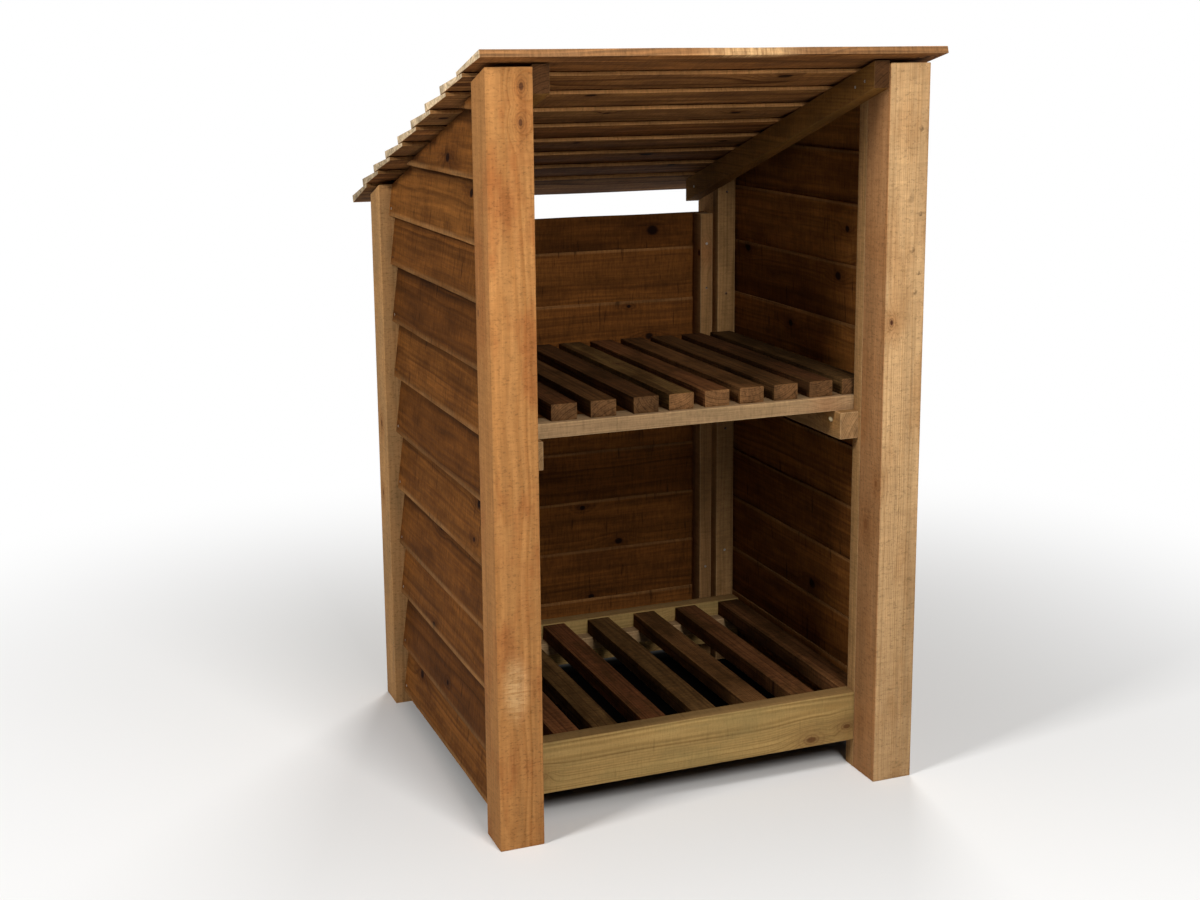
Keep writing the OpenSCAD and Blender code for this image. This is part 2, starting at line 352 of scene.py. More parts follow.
    # what each pattern or distance does: its range, and what it gives at the ends of that
    middle = (0.3, 0.7)
    tone, roughness = look["toneRange"], look["roughness"]
    height = addNode(tree, "SeparateXYZ", None, {
        0: addNode(tree, "TexCoord").outputs["Object"]}).outputs["Z"]
    eased = {
        "patch": (noise["patches"], (0.42, 0.66), (0, look["patchShare"])),
        "flecks": (noise["flecks"], (0.53, 0.68), (1, 1 - look["flecks"])),
        "marks": (noise["marks"], (0.64, 0.74), (1, 1 - look["marks"])),
        # foot: darker towards the ground, a painted shade
        "foot": (height, (0, 1), (1 - look["paintedFootShade"], 1)),
        # nearEdge and nearTop: pale strips at a board's lower edge outside and thin top edge inside,
        # painted highlight and wear
        "nearEdge": (fromEdge, (4 * mm, 12 * mm), (look["edgeWearAndHighlight"], 0)),
        "nearTop": (fromEdge, (118 * mm, 122 * mm), (0, look["edgeWearAndHighlight"] * grain["topShare"])),
        # underLap: a painted shadow below the lap of the board above
        "underLap": (fromEdge, (80 * mm, 98 * mm), (0, look["lapShade"])),
    }
    straight = {
        "bands": (noise["bands"], middle, (1 - look["bands"], 1 + look["bands"])),
        "fibres": (noise["fibres"], middle, (1 - look["fibres"], 1 + look["fibres"])),
        "saw": (noise["saw"], middle, (1 - look["sawShade"], 1 + look["sawShade"])),
        "tone": (marked["boardTone"]["Fac"], (0, 1), (1 - tone, 1 + tone)),
        "rough": (noise["fibres"], middle,
                  (roughness - grain["roughSwing"], roughness + grain["roughSwing"])),
        "uneven": (noise["patches"], (0.35, 0.6), (0.25, 1)),
    }
    if "rubbed" in look:
        # a spot that years of handling have rubbed pale: its place in mm, its slimness, how pale
        rubSpot, slimness, rubShare = look["rubbed"]
        rubSpan = spanFrom(rubSpot, (slimness, 1, 1))
        eased["rubbed"] = (rubSpan, (4 * mm, 30 * mm), (rubShare, 0))
        straight["rubSaw"] = (noise["saw"], (0.35, 0.6), (0.4, 1))
    share = {}
    for ramps, settings in ((eased, smoothStep), (straight, None)):
        for key, (value, (start, end), (first, last)) in ramps.items():
            share[key] = addNode(tree, "MapRange", settings, {
                "Value": value, "From Min": start, "From Max": end,
                "To Min": first, "To Max": last}).outputs[0]

    # laps: a pale strip on the lower edge of a board outside and on its thin top edge inside, painted
    # highlight and wear of the dip, and a painted shadow below the lap above it
    lowerWearAndHighlight = addNode(tree, "Math", multiply, {0: share["nearEdge"], 1: share["uneven"]})
    outside = addNode(tree, "Math", multiply, {0: lowerWearAndHighlight.outputs[0], 1: weatherSide}).outputs[0]
    inner = addNode(tree, "Math", subtract, {0: 1, 1: weatherSide}).outputs[0]
    worn = addNode(tree, "Math", multiplyAdd, {0: share["nearTop"], 1: inner, 2: outside}).outputs[0]
    # painted shadow under the lap, on the outer face only
    lapShadow = addNode(tree, "Math", multiply, {0: share["underLap"], 1: weatherSide}).outputs[0]
    share["lap"] = addNode(tree, "Math", subtract, {0: 1, 1: lapShadow}).outputs[0]

    # colour: soft early wood, then over it, in order, each layer and how much of it shows
    endShade = addNode(tree, "Mix", colourMix, {
        "Factor": late, 6: linearColour(look["endEarly"]), 7: linearColour(look["endLate"])})
    layers = [
        (late, look["rings"], linearColour(look["late"])),
        (share["patch"], 1, linearColour(look["patch"])),
        (bend, grain["haloShare"], linearColour(look["knotHalo"])),
        (knotMask, 1, linearColour(look["knot"])),
        # narrow sides take the edge colour; on the roof boards it is a painted highlight
        (marked["narrowEdge"]["Fac"], look["narrowShare"], linearColour(look["edge"])),
        (marked["cutEnd"]["Fac"], 1, endShade.outputs[2]),
        (marked["brokenEdge"]["Fac"], grain["furShare"], linearColour(look["edge"])),
        # pale lap edges: painted highlight and wear
        (worn, 1, linearColour(look["edge"])),
    ]
    if "rubbed" in look:
        layers.insert(4, (share["rubbed"], share["rubSaw"], linearColour(grain["rubTone"])))
    colour = addNode(tree, "Mix", colourMix, {
        "Factor": marked["boardTint"]["Fac"],
        6: linearColour(look["early"]), 7: linearColour(look["earlyOther"])}).outputs[2]
    for mask, part, shade in layers:
        amount = addNode(tree, "Math", multiply, {0: mask, 1: part}).outputs[0]
        colour = addNode(tree, "Mix", colourMix, {"Factor": amount, 6: colour, 7: shade}).outputs[2]

    # how light each spot is, with painted shade towards the foot and under the laps
    level = share["bands"]
    for key in ("fibres", "saw", "flecks", "marks", "tone", "foot", "lap"):
        level = addNode(tree, "Math", multiply, {0: level, 1: share[key]}).outputs[0]
    colour = addNode(tree, "VectorMath", {"operation": "SCALE"}, {0: colour, "Scale": level}).outputs[0]

    # relief: fibres and saw marks stand up by about a tenth of a millimetre
    relief = late
    for key, rise in (("fibres", look["fibreRelief"]), ("saw", look["sawRelief"])):
        relief = addNode(tree, "Math", multiplyAdd, {0: noise[key], 1: rise, 2: relief}).outputs[0]
    for spot, size in look["blisters"]:
        # a resin blister under the sawn face: a low dome
        dome = addNode(tree, "MapRange", smoothStep, {
            "Value": spanFrom(spot), "From Max": size * mm, "To Min": look["blisterRise"], "To Max": 0})
        relief = addNode(tree, "Math", add, {0: relief, 1: dome.outputs[0]}).outputs[0]
    bump = addNode(tree, "Bump", None, {
        "Strength": grain["bumpStrength"], "Distance": grain["bumpHeight"], "Height": relief})
    shader = addNode(tree, "BsdfPrincipled", None, {
        "Base Color": colour, "Roughness": share["rough"], "IOR": 1.5,
        "Specular IOR Level": grain["specular"], "Normal": bump.outputs[0]})
    addNode(tree, "OutputMaterial", None, {"Surface": shader.outputs[0]})
    return material


# Every look starts from this one. Ring widths, knot sizes and the saw's pitch are in mm, and
# knotCells says how often a branch may come per metre along, across and through. Own knots and
# blisters are spots of one board, in mm from its start and its middle, each with its radius.
plainLook = {
    "early": "#b98a5c", "earlyOther": "#b98a5c", "late": "#8a5a30", "ringWidth": 3.6, "rings": 0.4,
    "wander": 7, "bands": 0.1, "fibres": 0.12, "patch": "#8f6036", "patchShare": 0.35,
    "knot": "#3f210f", "knotHalo": "#7a4522", "knotCells": (3.4, 9, 1.2), "knotShare": 0.25,
    "knotSize": (3, 8), "ownKnots": (), "ripple": 0.5, "toneRange": 0.08, "edgeWearAndHighlight": 0,
    "lapShade": 0, "blisters": (), "blisterRise": 14, "narrowShare": 0, "endEarly": "#c3a27a",
    "endLate": "#a37d52", "edge": "#c9a577", "flecks": 0.2, "marks": 0.15, "sawPitch": 4,
    "sawShade": 0.12, "sawRelief": 1.2, "fibreRelief": 1, "roughness": 0.85, "paintedFootShade": 0,
}
# posts are painted darker towards the ground: painted shade
postLook = {
    **plainLook, "early": "#ae7a46", "earlyOther": "#ae7a46", "late": "#8c5829", "rings": 0.5,
    "patch": "#94572c", "patchShare": 0.7, "bands": 0.14, "flecks": 0.28, "marks": 0.1,
    "sawShade": 0.09, "fibres": 0.13, "knot": "#5e3a22", "knotShare": 0, "knotHalo": "#8a582c",
    "endEarly": "#a57a4a", "endLate": "#8a5f34", "edge": "#c7965f", "paintedFootShade": 0.15,
}

# Pressure-treated redwood, rough sawn: warm orange tan, furry to the eye, with fine saw lines
postTimber = sawnTimber("pressure treated sawn redwood", {
    **postLook, "narrowShare": 0.35, "edge": "#96693e",
    "ownKnots": (((1211, 19, -35), 8), ((1158, 17, -35), 7), ((868, -38, 22), 8)),
    "rubbed": ((272, -6, -35), 0.4, 0.5)})
# Paler length of the same timber, with a dark knot on its inner face and resin blisters in front
paleTimber = sawnTimber("pale treated sawn redwood", {
    **postLook, "early": "#bf996c", "earlyOther": "#bf996c", "late": "#9f7646",
    "narrowShare": 0.7, "edge": "#8f5d34", "patch": "#9b7045", "patchShare": 0.5,
    "knot": "#4a2a1c", "paintedFootShade": 0.22,
    "ownKnots": (((536, -38, -20), 8), ((458, -38, 10), 13), ((815, -24, -35), 6)),
    "blisters": (((1134, 22, -35), 6), ((1021, 4, -35), 11), ((994, 25, -35), 5),
                 ((935, 11, -35), 7), ((896, 24, -35), 5), ((864, 18, -35), 6))})
# Rear posts of the same timber, browner and greener where the weather gets at them
rearTimber = sawnTimber("weathered sawn redwood", {
    **postLook, "early": "#ba9666", "earlyOther": "#a8794a", "late": "#8e663c",
    "patch": "#94744e", "patchShare": 0.6, "ownKnots": (((560, -38, 5), 9), ((420, -38, 12), 7))})
# Feather-edge board, brown dipped spruce: yellow brown to red brown, with soft bands, cross saw
# lines, pale edges of painted highlight and wear, and a painted shadow under each lap
boardTimber = sawnTimber("brown dipped feather-edge spruce", {
    **plainLook, "early": "#72471e", "earlyOther": "#693d17", "late": "#3a1f09", "rings": 0.5,
    "ringWidth": 8, "wander": 11, "patch": "#4b2a0f", "patchShare": 0.6, "knot": "#1c0c04",
    "knotHalo": "#351807", "bands": 0.24, "toneRange": 0.3, "knotShare": 0.45,
    "knotSize": (4, 11), "edgeWearAndHighlight": 0.6, "lapShade": 0.45, "sawShade": 0.2, "marks": 0.5,
    "narrowShare": 0.35, "endEarly": "#7a5530", "endLate": "#5f3d1d", "edge": "#8f683f",
    "fibres": 0.24})
# Roof boards are the same spruce, greyer and strongly banded, with clean pale ends
# their narrow edges are painted paler: a painted highlight
roofLook = {
    **plainLook, "early": "#8c6339", "earlyOther": "#80522a", "late": "#40220c", "rings": 0.9,
    "ringWidth": 7, "wander": 16, "patch": "#5e3d22", "patchShare": 0.75, "knot": "#1f0f06",
    "knotHalo": "#3a200e", "bands": 0.42, "toneRange": 0.34, "knotShare": 0.6,
    "knotSize": (4, 13), "sawShade": 0.16, "marks": 0.2, "narrowShare": 0.65,
    "endEarly": "#cbb391", "endLate": "#ab9270", "edge": "#b3824f", "fibres": 0.24}
roofTimber = sawnTimber("brown dipped roof boarding", roofLook)
# The front roof board has lost its dip in a pale streak along the edge
wornRoofTimber = sawnTimber("worn roof boarding", {
    **roofLook, "rubbed": ((440, -66, 0), 0.27, 0.6), "narrowShare": 0.3, "edge": "#aa825a"})
# Green-treated softwood: olive tan, smoother than the rest, with clear knots
beamTimber = sawnTimber("green treated sawn softwood", {
    **plainLook, "early": "#977a4a", "earlyOther": "#977a4a", "late": "#6c5028", "rings": 0.7,
    "patch": "#806c42", "patchShare": 0.6, "knot": "#5f4024", "knotHalo": "#7a5a34",
    "sawShade": 0.06, "flecks": 0.12, "bands": 0.15, "narrowShare": 0.75, "edge": "#7a5c38",
    "ownKnots": (((525, -32, -15), 12), ((596, -18, -15), 9), ((18, -14, -15), 6))})
# Slats: grey olive, purple brown or tan, each its own, dark after treatment
slatTimber = sawnTimber("dark treated slat softwood", {
    **plainLook, "early": "#603920", "earlyOther": "#5c4525", "late": "#301a0b", "rings": 0.7,
    "patch": "#38240f", "patchShare": 0.75, "bands": 0.24, "fibres": 0.28, "flecks": 0.35,
    "sawShade": 0.2, "toneRange": 0.34, "knot": "#2a160a", "knotHalo": "#452a16",
    "endEarly": "#69492c", "endLate": "#4b321c", "edge": "#75532f"})
# Rafters: the same treatment on smoother timber, an even olive brown
rafterTimber = sawnTimber("dark treated rafter softwood", {
    **plainLook, "early": "#795326", "earlyOther": "#795326", "late": "#452d12",
    "patch": "#54391a", "patchShare": 0.6, "toneRange": 0.05, "knot": "#2a160a",
    "knotHalo": "#452a16", "endEarly": "#4b301a", "endLate": "#38220f", "edge": "#6c5232",
    "bands": 0.15, "fibres": 0.2})
# Battens: paler, a greyish tan with quiet streaks
battenLook = {
    **plainLook, "early": "#8f6c44", "earlyOther": "#87603b", "late": "#6a4a28",
    "patch": "#6f5230", "patchShare": 0.5, "toneRange": 0.12, "rings": 0.5, "bands": 0.14,
    "fibres": 0.18, "endEarly": "#8c6c48", "endLate": "#6e5032"}
battenTimber = sawnTimber("treated batten softwood", battenLook)
# The right shelf bearer has a raw pale splinter near its front end
splitTimber = sawnTimber("treated softwood with a torn splinter", {
    **battenLook, "knotShare": 0, "ripple": 0, "knot": "#ead9ac", "knotHalo": "#8a5f30",
    "ownKnots": (((34, 6, -17.5), 8),)})
# Cross bearers and ledgers: grey tan, with clearer fibres than the battens
bearerTimber = sawnTimber("grey tan bearer softwood", {
    **plainLook, "early": "#967856", "earlyOther": "#967856", "late": "#765a3a", "rings": 0.5,
    "patch": "#836a4a", "patchShare": 0.6, "toneRange": 0.05, "sawShade": 0.1, "flecks": 0.15,
    "fibres": 0.2, "bands": 0.16})
print("timber finishes ready")


# pitch is the fall of the roof, which the tops of the posts follow
posts = {"arris": 1.8 * mm, "station": 0.09, "pitch": math.radians(18)}
slope = math.tan(posts["pitch"])


def makePost(node, material, pith, tone):
    low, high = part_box(node)
    piece = sawLength(node.replace("_post", "_upright"), low, high)
    fall = (high.y - low.y) * slope
    movePoints(piece, lambda p: p.z > high.z - mm and p.y > high.y - mm, (0, 0, -fall))
    cutStations(piece, alongZ, posts["station"])
    easeEdges(piece, posts["arris"])
    layGrain(piece, alongZ, alongX, pith, tone)
    return finishPiece(piece, material, "post_timber", node)


# the pith's place across and through, and how light the post is
makePost("front_left_post", postTimber, (0.02, -0.055), 0.5)
makePost("front_right_post", paleTimber, (-0.03, 0.05), 0.5)
makePost("rear_left_post", rearTimber, (0.03, 0.06), 0.6)
makePost("rear_right_post", rearTimber, (0.01, -0.06), 0.5)
print("posts set")


battens = {"arris": 1.2 * mm, "station": 0.1, "thickness": 26 * mm}


def makeUpright(name, low, high, fall, across, node):
    piece = sawLength(name, low, high)
    if fall:
        movePoints(piece, lambda p: p.z > high[2] - mm and p.y > high[1] - mm, (0, 0, -fall))
    cutStations(piece, alongZ, battens["station"])
    easeEdges(piece, battens["arris"])
    layGrain(piece, alongZ, across)
    return finishPiece(piece, battenTimber, "batten_timber", node)


depth = battens["thickness"]
for side in ("left", "right"):
    node = side + "_battens"
    low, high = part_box(node)
    rearTop = high.z - (high.y - depth - low.y) * slope
    makeUpright(side + "_batten_front", low, (high.x, low.y + depth, high.z),
                depth * slope, alongX, node)
    makeUpright(side + "_batten_rear", (low.x, high.y - depth, low.z), (high.x, high.y, rearTop),
                depth * slope, alongX, node)
node = "rear_battens"
low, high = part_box(node)
makeUpright("rear_batten_left", low, (low.x + depth, high.y, high.z), 0, alongY, node)
makeUpright("rear_batten_right", (high.x - depth, low.y, low.z), high, 0, alongY, node)

for side in ("left", "right"):
    low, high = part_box(side + "_rafter")
    fall = (high.y - low.y) * slope
    piece = sawLength(side + "_rafter_bar", (low.x, low.y, low.z + fall), high)
    movePoints(piece, lambda p: p.y > high.y - mm, (0, 0, -fall))
    cutStations(piece, alongY, battens["station"])
    easeEdges(piece, battens["arris"])
    layGrain(piece, alongY, alongZ)
    finishPiece(piece, rafterTimber, "rafter_timber", side + "_rafter")
print("battens and rafters set")


# seat is how far a board's foot stands out over the one below, a drift is mm off even spacing, and
# a tone is how light each board is, from the lowest board up
cladding = {
    "board": 125 * mm, "pitch": 104.5 * mm, "thick": 14 * mm, "thin": 3 * mm, "seat": 5.746 * mm,
    "sideDrift": (0, -10, -5, -9, -3, 2, 7, 8, 12, -1, -3, 0),
    "rearDrift": (0, 0, 0, 0, 0, -5, -10, -9, 0),
    "arris": 1 * mm, "station": 0.045, "wave": 1.6 * mm, "bulge": 0.6, "waveGrain": 0.16,
    "leftTones": (0.7, 0.15, 0.5, 0.4, 0.7, 0.3, 0.65, 0.15, 0.4, 0.9, 0.6, 0.55),
    "rightTones": (0.6, 0.35, 0.7, 0.4, 0.6, 0.8, 0.95, 0.55, 1, 0.5, 0.8, 0.5),
    "rearTones": (0.3, 0.1, 0.35, 0.05, 0.3, 0.1, 0.2, 0.38, 0.12),
}


def featherBoard(name, low, length, along, outward):
    # one board standing on its thick edge, its flat back to the battens; outward is -1 or 1
    across = alongX if along == alongY else alongY
    size = [0, 0, cladding["board"]]
    size[along], size[across] = length, cladding["thick"]
    corner = list(low)
    if outward < 0:
        corner[across] -= cladding["thick"]
    top = low[2] + cladding["board"]
    piece = sawLength(name, corner, [corner[k] + size[k] for k in range(3)])
    face = low[across] + outward * cladding["thick"]
    thinning = [0, 0, 0]
    thinning[across] = outward * (cladding["thin"] - cladding["thick"])
    movePoints(piece, lambda p: p.z > top - mm and abs(p[across] - face) < mm, thinning)
    lean = [0, 0, 0]
    lean[across] = outward * cladding["seat"]
    movePoints(piece, lambda p: p.z < low[2] + mm, lean)
    cutStations(piece, along, cladding["station"])
    easeEdges(piece, cladding["arris"])
    return piece


def trimAbove(piece, point, normal):
    # saws off what stands above a plane and closes the cut
    editMode(piece)
    bpy.ops.mesh.select_all(action="SELECT")
    bpy.ops.mesh.bisect(plane_co=point, plane_no=normal, use_fill=True, clear_outer=True)
    bpy.ops.object.mode_set(mode="OBJECT")


roofCut = Vector((0, math.sin(posts["pitch"]), math.cos(posts["pitch"])))
for side, outward in (("left", -1), ("right", 1)):
    node = side + "_cladding"
    low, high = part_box(node)
    face = high.x if outward < 0 else low.x
    cutPoint = (0, low.y, high.z)
    first = featherBoard(side + "_board_1", (face, low.y, low.z), high.y - low.y, alongY, outward)
    boards = [first]
    for i, drift in enumerate(cladding["sideDrift"][1:], 1):
        lift = i * cladding["pitch"] + drift * mm
        if low.z + lift < high.z:
            boards.append(copyPiece(first, side + "_board_%d" % (i + 1), (0, 0, lift)))
    for piece, tone in zip(boards, cladding[side + "Tones"]):
        if max(v.co.z for v in piece.data.vertices) > high.z - (high.y - low.y) * slope:
            trimAbove(piece, cutPoint, roofCut)
        wander(piece, alongZ, cladding["wave"], cladding["waveGrain"])
        wander(piece, alongX, cladding["wave"] * cladding["bulge"], cladding["waveGrain"])
        layGrain(piece, alongY, alongZ, tone=tone, tint=1 - tone, outward=outward)
        finishPiece(piece, boardTimber, "cladding_boards", node)

low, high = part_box("rear_cladding")
first = featherBoard("rear_board_1", (low.x, low.y, low.z), high.x - low.x, alongX, 1)
boards = [first]
for i, drift in enumerate(cladding["rearDrift"][1:], 1):
    lift = i * cladding["pitch"] + drift * mm
    boards.append(copyPiece(first, "rear_board_%d" % (i + 1), (0, 0, lift)))
for piece, tone in zip(boards, cladding["rearTones"]):
    if max(v.co.z for v in piece.data.vertices) > high.z:
        trimAbove(piece, (0, 0, high.z), (0, 0, 1))
    wander(piece, alongZ, cladding["wave"], cladding["waveGrain"])
    wander(piece, alongY, cladding["wave"] * cladding["bulge"], cladding["waveGrain"])
    layGrain(piece, alongX, alongZ, tone=tone, tint=1 - tone, outward=1)
    finishPiece(piece, boardTimber, "cladding_boards", "rear_cladding")
print("cladding nailed up")


roof = {
    "board": 125 * mm, "thick": 14 * mm, "thin": 6.5 * mm, "frontEdge": 12 * mm, "arris": 1 * mm,
    "station": 0.05, "wave": 1.4 * mm, "waveGrain": 0.2,
    "tones": (0.65, 0.72, 0.72, 0.65, 0.6, 0.4, 0.25, 0.1, 0),  # from the front board back
}
down = posts["pitch"]
for i, tone in enumerate(roof["tones"], 1):
    node = "roof_board_%d" % i
    low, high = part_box(node)
    front, rear = (roof["frontEdge"], roof["thin"]) if i == 1 else (roof["thin"], roof["thick"])
    foot = Vector((low.x, low.y, high.z - front * math.cos(down)))
    rise = (low.z - foot.z + roof["board"] * math.sin(down)) / math.cos(down)
    piece = sawLength("roof_lap_%d" % i, foot, foot + Vector((high.x - low.x, roof["board"], front)))
    back = foot.y + roof["board"] - mm
    movePoints(piece, lambda p: p.y > back, (0, 0, rise))
    middle = foot.z + rise + front / 2
    movePoints(piece, lambda p: p.y > back and p.z > middle, (0, 0, rear - front))
    cutStations(piece, alongX, roof["station"])
    easeEdges(piece, roof["arris"])
    layGrain(piece, alongX, alongY, tone=tone)
    turn = Matrix.Translation(foot) @ Matrix.Rotation(-down, 4, "X") @ Matrix.Translation(-foot)
    piece.data.transform(turn)
    wander(piece, alongZ, roof["wave"], roof["waveGrain"])
    finishPiece(piece, wornRoofTimber if i == 1 else roofTimber, "roof_boards", node)
print("roof laid")


# tones say how light each floor slat is, and tints how grey, from the left
bars = {
    "arris": 1.4 * mm, "station": 0.08, "ledger": 28 * mm, "bearer": 35 * mm,
    "floorTones": (0.8, 0.85, 0.45, 0.75, 0.65, 0.8, 0.65, 0.6),
    "floorTints": (0, 0.1, 0.8, 0, 0.75, 0.5, 0.2, 0.3),
    "shelfSlats": 10,
}


def makeBar(name, low, high, along, across, material, slot, node, tone=None, tint=None):
    piece = sawLength(name, low, high)
    cutStations(piece, along, bars["station"])
    easeEdges(piece, bars["arris"])
    layGrain(piece, along, across, None, tone, tint)
    return finishPiece(piece, material, slot, node)


for side in ("front", "rear"):
    node = side + "_floor_beam"
    makeBar(side + "_beam_board", *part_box(node), alongX, alongZ, beamTimber, "beam_timber", node)
low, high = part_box("floor_ledgers")
makeBar("floor_ledger_front", low, (high.x, low.y + bars["ledger"], high.z), alongX, alongZ,
        bearerTimber, "bearer_timber", "floor_ledgers")
makeBar("floor_ledger_rear", (low.x, high.y - bars["ledger"], low.z), high, alongX, alongZ,
        bearerTimber, "bearer_timber", "floor_ledgers")
low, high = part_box("shelf_side_bearers")
makeBar("shelf_bearer_left", low, (low.x + bars["bearer"], high.y, high.z), alongY, alongZ,
        battenTimber, "bearer_timber", "shelf_side_bearers")
makeBar("shelf_bearer_right", (high.x - bars["bearer"], low.y, low.z), high, alongY, alongZ,
        splitTimber, "bearer_timber", "shelf_side_bearers")
for side in ("front", "rear"):
    node = "shelf_%s_bearer" % side
    makeBar("shelf_cross_" + side, *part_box(node), alongX, alongY, bearerTimber,
            "cross_bearer_timber", node)
for i, (tone, tint) in enumerate(zip(bars["floorTones"], bars["floorTints"]), 1):
    node = "floor_slat_%d" % i
    makeBar("floor_bar_%d" % i, *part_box(node), alongY, alongX, slatTimber, "slat_timber", node,
            tone, tint)
for i in range(1, bars["shelfSlats"] + 1):
    node = "shelf_slat_%d" % i
    makeBar("shelf_bar_%d" % i, *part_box(node), alongY, alongX, slatTimber, "slat_timber", node)
print("floor and shelf laid")


# Heads stand proud of the timber, up from a board's foot and in from its ends. Those in battens
# are at heights above the ground, those in rafters from the front end, the rear end and the top.
nails = {
    "sides": 10, "head": 5 * mm, "deep": 1.4 * mm, "proud": 0.35 * mm, "up": 14 * mm, "in": 13 * mm,
    "sideBattens": (0.24, 0.5, 0.78, 0.985), "rearBattens": (0.2, 0.52, 0.79, 0.88),
    "rafterFront": (0.03, 0.06), "rafterRear": 0.04, "rafterDown": 0.024, "clearOfRoof": 0.02,
}
sunk = nails["deep"] / 2 - nails["proud"]


def driveNails(name, node, spots, facing):
    # one panel's nail heads, joined into a piece of their own
    heads = []
    turn = Vector(facing).to_track_quat("Z", "Y").to_euler()
    for spot in spots:
        bpy.ops.mesh.primitive_cylinder_add(
            vertices=nails["sides"], radius=nails["head"] / 2, depth=nails["deep"],
            location=spot, rotation=turn)
        heads.append(bpy.context.active_object)
    bpy.ops.object.select_all(action="DESELECT")
    for head in heads:
        head.select_set(True)
    bpy.context.view_layer.objects.active = heads[0]
    bpy.ops.object.join()
    piece = bpy.context.active_object
    piece.name = piece.data.name = name
    bpy.ops.object.transform_apply(location=True, rotation=True, scale=True)
    piece.data.materials.append(nailSteel)
    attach(piece, "root")
    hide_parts(node)


# Galvanised nail heads: dull grey or rusty brown, in patches wider than a head (about 17 mm), so
# that some heads come out grey and some brown
nailSteel = bpy.data.materials.new("galvanised nail steel")
nailSteel.use_nodes = True
steel = nailSteel.node_tree
steel.nodes.clear()
spots = addNode(steel, "TexNoise", None, {
    "Vector": addNode(steel, "TexCoord").outputs["Object"], "Scale": 60, "Detail": 3, "Roughness": 0.6})
rust = addNode(steel, "MapRange", smoothStep, {
    "Value": spots.outputs["Fac"], "From Min": 0.45, "From Max": 0.6}).outputs[0]
nailColour = addNode(steel, "Mix", colourMix, {
    "Factor": rust, 6: linearColour("#a9a59c"), 7: linearColour("#4a2f1e")}).outputs[2]
gloss = addNode(steel, "MapRange", None, {"Value": rust, "To Min": 0.45, "To Max": 0.9}).outputs[0]
nailShader = addNode(steel, "BsdfPrincipled", None, {
    "Base Color": nailColour, "Metallic": 0.6, "Roughness": gloss})
addNode(steel, "OutputMaterial", None, {"Surface": nailShader.outputs[0]})

for side, outward in (("left", -1), ("right", 1)):
    low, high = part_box(side + "_cladding")
    seatFace = high.x if outward < 0 else low.x
    rise = nails["up"] / cladding["board"]
    out = (cladding["seat"] + cladding["thick"]) * (1 - rise) + cladding["thin"] * rise - sunk
    roofAt = high.z - nails["clearOfRoof"]
    spots = []
    for i, drift in enumerate(cladding["sideDrift"]):
        z = low.z + i * cladding["pitch"] + drift * mm + nails["up"]
        for y in (low.y + nails["in"], high.y - nails["in"]):
            if z < roofAt - (y - low.y) * slope:
                spots.append((seatFace + outward * out, y, z))
    driveNails(side + "_cladding_nails", side + "_cladding", spots, (outward, 0, 0))
low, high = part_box("rear_cladding")
spots = []
for i, drift in enumerate(cladding["rearDrift"]):
    z = low.z + i * cladding["pitch"] + drift * mm + nails["up"]
    spots += [(x, low.y + out, z) for x in (low.x + nails["in"], high.x - nails["in"])]
driveNails("rear_cladding_nails", "rear_cladding", spots, (0, 1, 0))

for side, inward in (("left", 1), ("right", -1)):
    # battens are nailed to the posts, and rafters through their inner faces
    low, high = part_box(side + "_battens")
    face = high.y - battens["thickness"] + sunk
    middle = (low.x + high.x) / 2
    driveNails(side + "_batten_nails", side + "_battens",
               [(middle, face, z) for z in nails["sideBattens"]], (0, -1, 0))
    low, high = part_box(side + "_rafter")
    face = (high.x if inward > 0 else low.x) - inward * sunk
    places = [low.y + front for front in nails["rafterFront"]] + [high.y - nails["rafterRear"]]
    spots = [(face, y, high.z - (y - low.y) * slope - nails["rafterDown"]) for y in places]
    driveNails(side + "_rafter_nails", side + "_rafter", spots, (inward, 0, 0))
low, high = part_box("rear_battens")
spots = [(x, low.y + sunk, z) for x in (low.x + nails["in"], high.x - nails["in"])
         for z in nails["rearBattens"]]
driveNails("rear_batten_nails", "rear_battens", spots, (0, -1, 0))
print("nails driven")


# A painted shadow darkens the floor under the slats, where little light gets to. Past it the floor
# brightens to the backdrop's white, from near to far. A softbox has a place, a target, a size and its
# watts.
studio = {
    "camera": (-1.113, -2.741, 1.255), "turned": math.radians(21.25), "tilted": math.radians(-11.09),
    "rolled": math.radians(-0.47), "lens": 49.38, "sensor": 36, "shiftY": -0.06,
    "floorWidth": 14, "floorTone": "#eeedeb", "shadeTone": "#0c0b0a", "shadeAt": (0.03, 0.06, 0),
    "shadeHalf": (0.3, 0.26, 0), "shadeFade": 0.13, "near": 0.15, "far": 1.7, "skyGlow": 0.08,
    "softboxes": (
        ("front_softbox", (0.05, -2.9, 2.25), (0, 0, 0.7), 1.0, 76),
        ("side_softbox", (-3.7, -1.4, 3.1), (0, 0, 0.5), 0.9, 132),
        ("back_softbox", (1.6, 3.0, 2.6), (0, 0, 0.6), 1.6, 85)),
}
bpy.ops.object.select_all(action="DESELECT")
bpy.ops.object.camera_add(location=studio["camera"])
camera = bpy.context.active_object
camera.name = "studio_camera"
aim = (Matrix.Rotation(-studio["turned"], 3, "Z")
       @ Matrix.Rotation(math.pi / 2 + studio["tilted"], 3, "X")
       @ Matrix.Rotation(studio["rolled"], 3, "Z"))
camera.rotation_euler = aim.to_euler()
camera.data.sensor_width = studio["sensor"]
camera.data.lens = studio["lens"]
camera.data.shift_y = studio["shiftY"]
bpy.context.scene.camera = camera

bpy.ops.mesh.primitive_plane_add(size=studio["floorWidth"], location=(0, 0, 0))
floor = bpy.context.active_object
floor.name = "studio_floor"
# Matt white paint without gloss, with a painted shadow under the store where little light gets to
floorPaint = bpy.data.materials.new("matt white floor paint")
floorPaint.use_nodes = True
paint = floorPaint.node_tree
paint.nodes.clear()
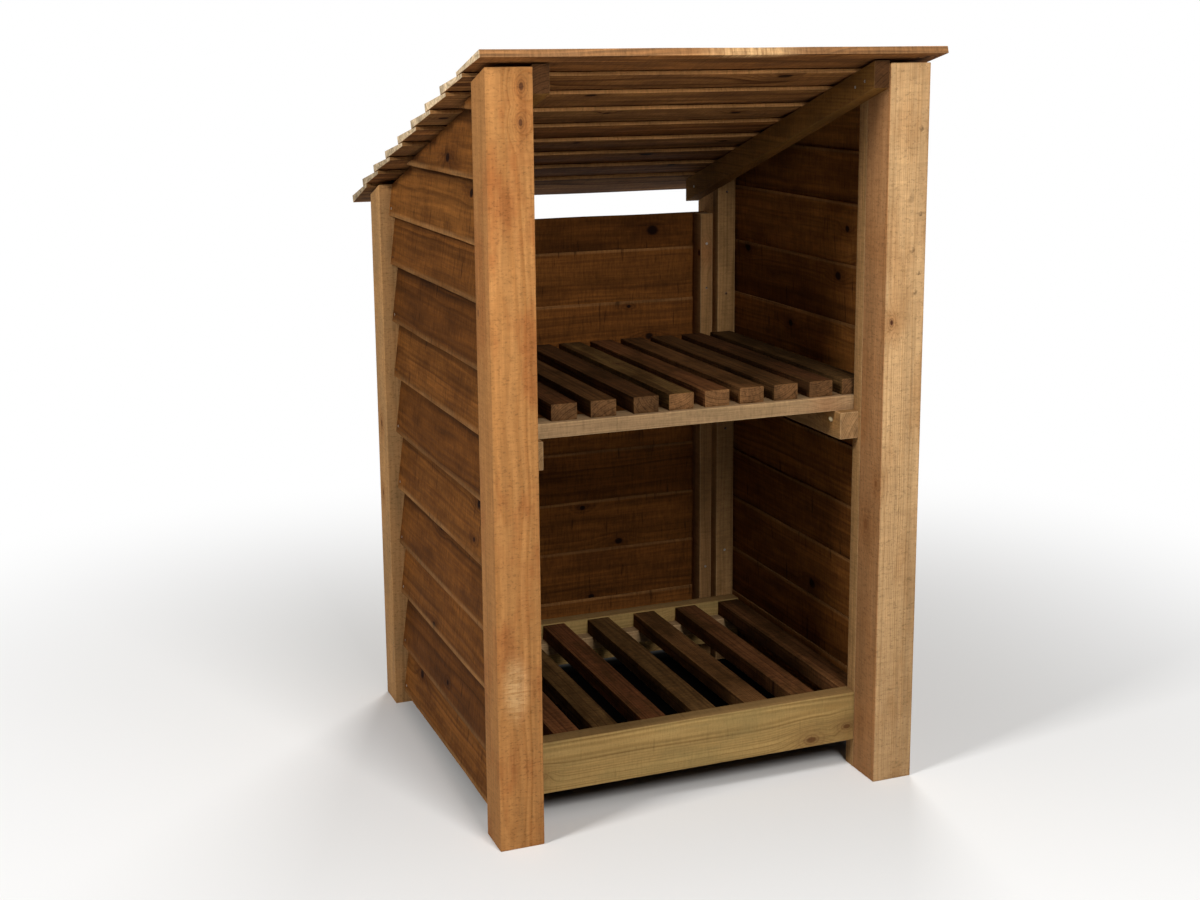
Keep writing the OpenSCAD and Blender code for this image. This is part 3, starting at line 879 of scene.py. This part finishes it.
# distance out from the painted shadow
place = addNode(paint, "TexCoord").outputs["Object"]
centred = addNode(paint, "VectorMath", subtract, {0: place, 1: studio["shadeAt"]})
outwards = addNode(paint, "VectorMath", {"operation": "ABSOLUTE"}, {0: centred.outputs[0]})
beyond = addNode(paint, "VectorMath", subtract, {0: outwards.outputs[0], 1: studio["shadeHalf"]})
clipped = addNode(paint, "VectorMath", maximum, {0: beyond.outputs[0], 1: (0, 0, 0)})
distance = addNode(paint, "VectorMath", vectorLength, {0: clipped.outputs[0]}).outputs["Value"]
shaded = addNode(paint, "MapRange", smoothStep, {
    "Value": distance, "From Max": studio["shadeFade"], "To Min": 1, "To Max": 0}).outputs[0]
floorColour = addNode(paint, "Mix", colourMix, {
    "Factor": shaded, 6: linearColour(studio["floorTone"]), 7: linearColour(studio["shadeTone"])})
matt = addNode(paint, "BsdfDiffuse", None, {"Color": floorColour.outputs[2]})
lit = addNode(paint, "MapRange", smoothStep, {
    "Value": distance, "From Min": studio["near"], "From Max": studio["far"], "To Max": 1})
seenFloor = addNode(paint, "Math", multiply, {
    0: lit.outputs[0], 1: addNode(paint, "LightPath").outputs["Is Camera Ray"]})
glowing = addNode(paint, "Emission", None, {"Color": (1, 1, 1, 1), "Strength": 1})
blended = addNode(paint, "MixShader", None, {
    0: seenFloor.outputs[0], 1: matt.outputs[0], 2: glowing.outputs[0]})
addNode(paint, "OutputMaterial", None, {"Surface": blended.outputs[0]})
floor.data.materials.append(floorPaint)

for name, place, target, size, watts in studio["softboxes"]:
    bpy.ops.object.light_add(type="AREA", location=place)
    lamp = bpy.context.active_object
    lamp.name = name
    lamp.data.shape, lamp.data.size, lamp.data.energy = "SQUARE", size, watts
    lamp.rotation_euler = (Vector(target) - Vector(place)).to_track_quat("-Z", "Y").to_euler()

world = bpy.data.worlds.new("white studio")
bpy.context.scene.world = world
world.use_nodes = True
air = world.node_tree
air.nodes.clear()
seen = addNode(air, "LightPath").outputs["Is Camera Ray"]
glow = addNode(air, "MapRange", None, {
    "Value": seen, "To Min": studio["skyGlow"], "To Max": 1}).outputs[0]
sky = addNode(air, "Background", None, {"Color": (1, 1, 1, 1), "Strength": glow})
addNode(air, "OutputWorld", None, {"Surface": sky.outputs[0]})
bpy.context.scene.view_settings.view_transform = "Standard"
print("studio lit")
